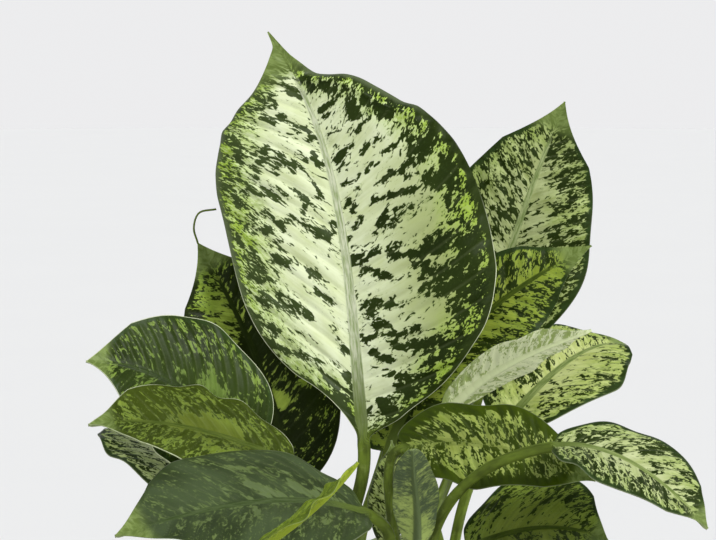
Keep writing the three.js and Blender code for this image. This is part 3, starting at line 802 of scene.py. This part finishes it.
def pale_tone(s, m, look):
    """The pale parts: cream, limier towards the margin, halfway to green in patches."""
    patchy = s.add(s.times(m.streak, 0.3), s.times(m.mottle, 0.7))
    pale = s.blend(s.ramp(patchy, 0.36, 0.6), *look.cream)
    pale = s.blend(s.times(m.deeper, 0.95), pale, (162, 174, 108))
    near_margin = s.times(s.ramp(s.add(m.edge, s.times(m.broad, 20)), 38, 14), look.lime)
    flecked = s.ramp(s.add(m.fine, m.medium), 0.8, 1.08, 0.4, 1.0)
    lime_share = s.times(near_margin, flecked, s.ramp(m.sparse, 0.08, 0.16, 1.0, 0.45))
    pale = s.blend(lime_share, pale, look.lime_tone)
    halfway = s.add(s.times(m.coarse, -0.5), s.times(m.medium, 0.9), s.ramp(m.edge, 36, 12, -0.2, 0.06))
    pale = s.blend(s.ramp(halfway, 0.22, 0.27, 0, look.halfway), pale, look.halfway_tone)
    return s.blend(s.ramp(m.field, -0.09, 0.0, 0, 0.5), pale, (120, 140, 72))


def green_tone(s, m, look):
    """The dark parts, with painted light that makes them lighter on the left half."""
    green = s.shades(m.broad, *look.green)
    # Painted light: the dark green is lighter on the left half, where more light falls.
    green = s.blend(s.ramp(m.cross, 6, -8, 0, look.left_lighter), green, (84, 100, 56))
    return s.blend(s.ramp(m.fine, 0.55, 0.8, 0, 0.35), green, (70, 92, 40))


def lengthwise(s, m, across, along, shift, rough):
    """Noise drawn out along the midrib or petiole, with so many waves to a length of 1."""
    place = s.spot(s.times(m.cross, across), s.times(m.along, along), shift)
    return s.noise(place, detail=3, rough=rough)


def rib_tone(s, m, look, seed):
    streaks = lengthwise(s, m, 1.1, 0.09, seed, 0.65)
    rib = s.blend(s.ramp(streaks, 0.4, 0.62), look.rib_tone, darkened(look.rib_tone, (0.7, 0.76, 0.6)))
    rib = s.blend(s.times(m.base, 0.9), rib, (98, 115, 50))
    return s.blend(s.times(m.apex, 0.9), rib, (120, 138, 74))


def upper_tone(s, m, look, seed):
    """The upper side: pale and dark parts, veins, border with its painted sheen, tip, midrib and the margin
    line, a painted highlight.
    """
    green = green_tone(s, m, look)
    is_dark = s.ramp(m.field, -0.006 * look.soft, 0.012 * look.soft)
    blade = s.blend(is_dark, pale_tone(s, m, look), green)
    blade = s.blend(s.ramp(m.fromvein, 0.9, 0.2, 0, look.veins), blade, (188, 200, 142))

    uneven = s.add(s.times(m.coarse, 0.6), s.times(m.medium, 0.4))
    play = 0.6 * look.border
    border_line = s.add(
        m.edge, s.ramp(m.cross, -10, -30, 0, look.left_thinner), s.ramp(uneven, 0.35, 0.65, play, -play))
    # Painted sheen: the outer border turns grey-green, as though it reflected the light.
    sheen = s.times(m.sheen, s.ramp(s.add(m.edge, s.times(m.coarse, 4)), 6.5, 3.0, 0, 0.64))
    border = s.shades(m.coarse, look.border_tone, green)
    border = s.blend(sheen, border, (108, 120, 84))
    blade = s.blend(s.ramp(border_line, look.border + 0.5, look.border - 0.7), blade, border)

    blade = s.blend(m.apex, blade, s.blend(s.ramp(m.medium, 0.4, 0.6), (130, 148, 82), (104, 122, 58)))
    on_rib = s.times(s.ramp(m.rib, 0.35, -0.15), m.ribbed, look.ribbed)
    blade = s.blend(on_rib, blade, rib_tone(s, m, look, seed))
    # A painted highlight: a thin pale line along the margin near the blade's base, as though its edge caught
    # the light.
    rim = s.times(s.ramp(m.edge, 0.42, 0.22), s.ramp(m.coarse, 0.35, 0.6, 0.6 * look.rim, look.rim))
    return s.blend(s.times(rim, s.ramp(m.along, 120, 80)), blade, (240, 247, 204))


def under_tone(s, m, look):
    """The underside: the same marks, duller, under plainer veins."""
    under = s.blend(
        s.ramp(m.field, -0.06 * look.soft, 0.05 * look.soft), look.under_pale, look.under_dark)
    under = s.blend(s.ramp(m.fromvein, 1.4, 0.5, 0, 2.5 * look.veins), under, (196, 206, 160))
    return s.blend(
        s.ramp(m.rib, 0.6, -0.2), under, s.blend(look.under_rib, look.under_pale, look.rib_tone))


def petiole_tone(s, m, look, seed):
    grain = lengthwise(s, m, 1.4, 0.05, seed + 2, 0.6)
    flecks = lengthwise(s, m, 1.2, 0.12, seed + 4, 0.7)
    stalk = s.shades(grain, darkened(look.stalk_tone, [0.62] * 3), look.stalk_tone)
    return s.blend(s.ramp(flecks, 0.56, 0.66, 0, 0.35), stalk, (140, 154, 84))


def leaf_material(name, look):
    s = new_shader(name)
    seed = (sum(map(ord, name)) * 7) % 97
    m = leaf_marks(s, look, seed)
    skin = s.blend(m.under, upper_tone(s, m, look, seed), under_tone(s, m, look))
    skin = s.blend(m.stalk, skin, petiole_tone(s, m, look, seed))
    place = s.object_place()
    pores = s.noise(place, scale=1500)
    crinkle = s.noise(place, scale=260)
    relief = s.add(s.times(pores, 0.25), s.times(crinkle, 0.75), s.ramp(m.fromvein, 1.0, 0.0, 0, -0.5))
    normal = s.bump(relief, 0.0003, 0.6)
    rough = s.ramp(s.add(crinkle, s.times(m.under, 0.7)), 0.3, 1.4, 0.36, 0.62)
    body = s.surface(skin, rough, normal, specular=0.12)
    glow_colour = s.blend(0.55, skin, (150, 176, 40))
    glow = s.node("BsdfTranslucent", {"Color": glow_colour, "Normal": normal}).outputs[0]
    return s.finish(s.node("MixShader", {0: look.through, 1: body, 2: glow}).outputs[0])


def stem_material():
    s = new_shader("cane_skin")
    scar, height = s.value("scar"), s.value("height")
    place = s.object_place()
    patchy = s.noise(place, scale=70, detail=3)
    fibre = s.noise(s.scaled(place, 900, 900, 60), detail=3)
    green = s.shades(patchy, (84, 104, 46), (120, 138, 72))
    old = s.blend(s.ramp(fibre, 0.4, 0.65), (132, 116, 78), (92, 84, 50))
    worn = s.ramp(s.add(height, s.times(patchy, 0.6)), 0.85, 0.35)
    skin = s.blend(worn, green, old)
    skin = s.blend(s.ramp(scar, 1.3, 0.5, 0, 0.85), skin, (88, 66, 40))
    skin = s.blend(s.ramp(fibre, 0.58, 0.72, 0, 0.4), skin, (58, 50, 28))
    normal = s.bump(s.add(fibre, s.times(patchy, 0.5)), 0.0004, 0.7)
    return s.finish(s.surface(skin, s.ramp(fibre, 0.3, 0.7, 0.5, 0.72), normal))


def compost_material():
    s = new_shader("moist_compost")
    place = s.object_place()
    crumb = s.node("TexVoronoi", {"Vector": place, "Scale": 420.0}).outputs["Distance"]
    grain = s.noise(place, scale=900, detail=4, rough=0.7)
    broad = s.noise(place, scale=60, detail=3)
    earth = s.shades(broad, (38, 26, 18), (62, 44, 30))
    earth = s.blend(s.ramp(grain, 0.5, 0.75, 0, 0.7), earth, (104, 78, 52))
    relief = s.bump(s.add(grain, s.times(crumb, 1.4)), 0.0012, 0.9)
    return s.finish(s.surface(earth, s.ramp(grain, 0.3, 0.7, 0.72, 0.95), relief, 0.3))


def perlite_material():
    s = new_shader("perlite_bits")
    place = s.object_place()
    grain = s.noise(place, scale=1400, detail=3, rough=0.7)
    stain = s.noise(place, scale=120)
    white = s.blend(s.ramp(stain, 0.45, 0.7), (214, 208, 194), (170, 154, 128))
    return s.finish(s.surface(white, s.ramp(grain, 0.3, 0.7, 0.75, 0.95), s.bump(grain, 0.0006, 0.8)))


def pot_material():
    s = new_shader("pot_plastic_skin")
    place = s.object_place()
    height = s.node("SeparateXYZ", {0: place}).outputs[2]
    mottle = s.noise(place, scale=38, detail=4, rough=0.6)
    grain = s.noise(place, scale=1600)
    scuff = s.noise(s.scaled(place, 60, 60, 600), detail=3, rough=0.7)
    clay = s.shades(mottle, (158, 88, 58), (172, 100, 68))
    clay = s.blend(s.ramp(scuff, 0.62, 0.74, 0, 0.35), clay, (196, 136, 106))
    dust = s.ramp(s.add(height, s.times(mottle, 0.03)), 0.035, 0.012, 0, 0.45)
    clay = s.blend(dust, clay, (148, 112, 88))
    lime_line = s.ramp(s.add(height, s.times(mottle, 0.02)), 0.118, 0.142, 0, 0.35)
    clay = s.blend(lime_line, clay, (202, 160, 136))
    normal = s.bump(s.add(grain, s.times(scuff, 0.4)), 0.00025, 0.5)
    return s.finish(s.surface(clay, s.ramp(mottle, 0.3, 0.7, 0.5, 0.62), normal, 0.4))


# ---- the pot, the compost and the plant ----


def cut_drains(pot):
    cutters = bmesh.new()
    for k in range(DRAIN_COUNT):
        turn = 2 * math.pi * (k + 0.5) / DRAIN_COUNT
        radius = DRAIN_RADIUS * MM
        bmesh.ops.create_cone(
            cutters, cap_ends=True, segments=DRAIN_SIDES, radius1=radius, radius2=radius, depth=10 * MM)
        place = (DRAIN_CIRCLE * math.cos(turn) * MM, DRAIN_CIRCLE * math.sin(turn) * MM, MM)
        bmesh.ops.translate(cutters, vec=place, verts=cutters.verts[-2 * DRAIN_SIDES:])
    mesh = bpy.data.meshes.new("drain_cutters")
    cutters.to_mesh(mesh)
    cutters.free()
    tool = new_object("drain_cutters", mesh)
    cut = pot.modifiers.new("drains", "BOOLEAN")
    cut.object, cut.operation, cut.solver = tool, "DIFFERENCE", "EXACT"
    depsgraph = bpy.context.evaluated_depsgraph_get()
    done = bpy.data.meshes.new_from_object(pot.evaluated_get(depsgraph))
    pot.modifiers.clear()
    pot.data = done
    bpy.data.objects.remove(tool)


def make_pot():
    lip_foot = POT_HEIGHT - POT_LIP_HEIGHT
    groove_in, groove_out = GROOVE
    # Up the outside and down the inside: radius, height and rounding.
    corners = [
        (0, 0, 0), (groove_in, 0, 0.6), (groove_in + GROOVE_SLOPE, GROOVE_DEPTH, 0.6),
        (groove_out - GROOVE_SLOPE, GROOVE_DEPTH, 0.6), (groove_out, 0, 0.6), (POT_BASE_RADIUS - 1, 0, 1),
        (outer_radius(3), 3, 1.5), (outer_radius(lip_foot - 2), lip_foot - 2, 0.8),
        (POT_RIM_RADIUS - 0.8, lip_foot, 0.8), (POT_RIM_RADIUS, POT_HEIGHT, 1.0),
        (inner_radius(POT_HEIGHT) + 0.3, POT_HEIGHT, 0.7), (inner_radius(4), 4, 1.5),
        (inner_radius(POT_WALL) - 3, POT_WALL, 1), (0, POT_WALL, 0),
    ]
    vertices, faces = lathe(rounded(corners), POT_SIDES)
    pot = new_piece("visual_pot", vertices, faces, {}, pot_material(), ["pot"])
    cut_drains(pot)


def soil_height(x, y):
    mound = SOIL_MOUND * (1 - smooth((np.hypot(x, y) / 68.0 - 0.3) / 0.7))
    humps = 0.7 * np.sin(x * 0.31 + 1) * np.sin(y * 0.27 + 2)
    bumps = 0.4 * np.sin(x * 0.9 + y * 0.7) * np.sin(y * 1.1 - x * 0.4)
    return SOIL_TOP - 0.6 + mound + humps + bumps


def crumbs(rng, count, low, high, reach, off_canes=False):
    """Small uneven lumps, half sunk in the compost's top."""
    ball = bmesh.new()
    bmesh.ops.create_icosphere(ball, subdivisions=2, radius=1)
    shape = np.array([v.co for v in ball.verts])
    cells = [tuple(v.index for v in f.verts) for f in ball.faces]
    ball.free()
    vertices, faces = [], []
    for _ in range(count):
        size = low + (high - low) * rng.random() ** 2.2
        r, a = reach * math.sqrt(rng.random()), rng.random() * 2 * math.pi
        stretch = 0.6 + 0.7 * rng.random(3)
        ridges = 1 + 0.3 * np.sin(shape @ (rng.random((3, 3)) * 5) + rng.random(3) * 6).mean(1, keepdims=True)
        spin = np.linalg.qr(rng.normal(size=(3, 3)))[0]
        lump = (shape * stretch * ridges) @ spin * size
        lump[:, 2] *= 0.75
        x, y = r * math.cos(a), r * math.sin(a)
        gaps = [math.dist((x, y), cane.foot) - cane.radii[0] for cane in CANES.values()]
        if off_canes and min(gaps) < 2 * size + 1:
            continue
        faces += [tuple(i + len(shape) * len(vertices) for i in cell) for cell in cells]
        vertices.append(lump + [x, y, soil_height(x, y) + size * 0.15])
    return np.vstack(vertices), faces


def make_compost():
    floor = POT_WALL + SEAT_GAP
    side = [(inner_radius(z) - SEAT_GAP, z) for z in np.linspace(floor + 3, SOIL_TOP - 1, 14)]
    edge = inner_radius(SOIL_TOP) - SEAT_GAP
    top = [(r, SOIL_TOP) for r in np.linspace(1, 0, 48) ** 0.9 * edge]
    bottom = [(0, floor), (inner_radius(floor) - SEAT_GAP - 3, floor)]
    vertices, faces = lathe(bottom + side + top, COMPOST_SIDES)
    on_top = vertices[:, 2] > SOIL_TOP - 0.5
    x, y = vertices[on_top, 0], vertices[on_top, 1]
    rough = 0.35 * np.sin(x * 2.3 + np.sin(y * 1.7) * 2) * np.cos(y * 2.1 + np.sin(x * 1.3) * 2)
    vertices[on_top, 2] = soil_height(x, y) + rough * clamp01((66 - np.hypot(x, y)) / 4)
    rng = np.random.default_rng(5)
    lumps, lump_faces = crumbs(rng, 900, 0.5, 2.4, 65)
    faces += [tuple(i + len(vertices) for i in f) for f in lump_faces]
    vertices = np.vstack([vertices, lumps])
    new_piece("visual_compost", vertices, faces, {}, compost_material(), ["compost"])
    bits, bit_faces = crumbs(rng, 52, 0.8, 1.8, 64, off_canes=True)
    new_piece("perlite", bits, bit_faces, {}, perlite_material())


def make_canes():
    material = stem_material()
    angle = np.linspace(0, 2 * math.pi, CANE_SIDES, endpoint=False)[None, :]
    for name, cane in CANES.items():
        rng = np.random.default_rng(len(name))
        zs = np.arange(SOIL_TOP - CANE_BURIED, cane.height + 0.1, CANE_STEP)
        centre = cane_axis(cane, zs)
        from_scar = np.abs((zs - SOIL_TOP + SCAR_SPACING / 2) % SCAR_SPACING - SCAR_SPACING / 2)
        swell = SCAR_SWELL * bell(from_scar, SCAR_HALF_HEIGHT)
        swell = swell - SCAR_NICK * bell(from_scar, SCAR_NICK_HALF_HEIGHT)
        radius = cane_radius(cane, zs) - SCAR_SWELL + swell
        top_rounding = np.sqrt(clamp01((cane.height - zs + 0.4) / 4) * 0.9 + 0.1) ** 0.5
        shift = rng.random(3) * 6
        lumps = 1 + 0.025 * np.sin(2 * angle + shift[0])
        lumps = lumps + 0.015 * np.sin(5 * angle + zs[:, None] * 0.11 + shift[1])
        tilt = 0.8 * np.sin(angle + shift[2])
        ring = (radius * top_rounding)[:, None] * lumps
        grid = np.stack([
            centre[:, 0:1] + ring * np.cos(angle), centre[:, 1:2] + ring * np.sin(angle),
            zs[:, None] + tilt * clamp01((cane.height - 8 - zs[:, None]) / 8)], -1)
        height = (zs - SOIL_TOP) / (cane.height - SOIL_TOP)
        values = dict(scar=np.repeat(from_scar, CANE_SIDES), height=np.repeat(height, CANE_SIDES))
        vertices, faces = grid.reshape(-1, 3), ring_faces(len(zs), CANE_SIDES)
        new_piece("visual_cane_" + name, vertices, faces, values, material, ["cane_" + name])


def make_leaves():
    for name in LEAVES:
        look = Values(**{**USUAL_LOOK, **LOOKS.get(name, {})})
        vertices, faces, values = leaf_mesh(name, look)
        material = leaf_material("leaf_" + name + "_skin", look)
        new_piece("visual_leaf_" + name, vertices, faces, values, material, ["leaf_" + name])


# ---- floor, light and camera ----

FLOOR_RADIUS = 14  # metres
BACKGROUND = 0.843
HORIZON, ZENITH = 0.12, 0.4  # the heights, 0 to 1, between which the studio darkens upwards
ZENITH_LIGHT = (0.34, 0.36, 0.39, 1)
# Azimuth and elevation, strength, and spread of the light, in degrees.
LAMPS = {"key": (48, 46, 2.7, 22), "fill": (-60, 35, 0.45, 60)}

CAMERA_PLACE = (0.0, -0.98855, 0.4959)  # metres
CAMERA_DIP = 6.0  # degrees that it looks down
LENS, SENSOR_WIDTH = 100, 36


def make_stage():
    mesh = bpy.data.meshes.new("floor")
    work = bmesh.new()
    bmesh.ops.create_circle(work, cap_ends=True, segments=96, radius=FLOOR_RADIUS)
    work.to_mesh(mesh)
    work.free()
    s = new_shader("floor_paint")
    paint = s.blend(s.noise(s.object_place(), scale=3), (229, 228, 226), (231, 230, 228))
    mesh.materials.append(s.finish(s.surface(paint, 0.9, specular=0.1)))
    new_object("floor", mesh)


def make_light():
    world = bpy.data.worlds.new("studio")
    bpy.context.scene.world = world
    s = Shader(world)
    height = s.node("SeparateXYZ", {0: s.node("TexCoord").outputs["Generated"]}).outputs[2]
    ramp = s.node("ValToRGB", {0: height})
    low, high = ramp.color_ramp.elements
    low.position, low.color = HORIZON, (BACKGROUND, BACKGROUND, BACKGROUND * 1.012, 1)
    high.position, high.color = ZENITH, ZENITH_LIGHT
    s.finish(s.node("Background", {"Color": ramp.outputs[0]}).outputs[0], "OutputWorld")
    for name, (azimuth, elevation, strength, spread) in LAMPS.items():
        lamp = bpy.data.lights.new(name, "SUN")
        lamp.energy = strength
        lamp.angle = math.radians(spread)
        new_object(name, lamp).rotation_euler = (math.radians(90 - elevation), 0, math.radians(azimuth))


def make_camera():
    camera = bpy.data.cameras.new("camera")
    camera.lens = LENS
    camera.sensor_width = SENSOR_WIDTH
    holder = new_object("camera", camera)
    holder.location = CAMERA_PLACE
    holder.rotation_euler = (math.radians(90 - CAMERA_DIP), 0, 0)
    scene = bpy.context.scene
    scene.camera = holder
    scene.view_settings.view_transform = "Standard"
    scene.view_settings.look = "None"


make_camera()
make_light()
make_stage()
make_pot()
make_compost()
make_canes()
make_leaves()

bpy.context.view_layer.update()
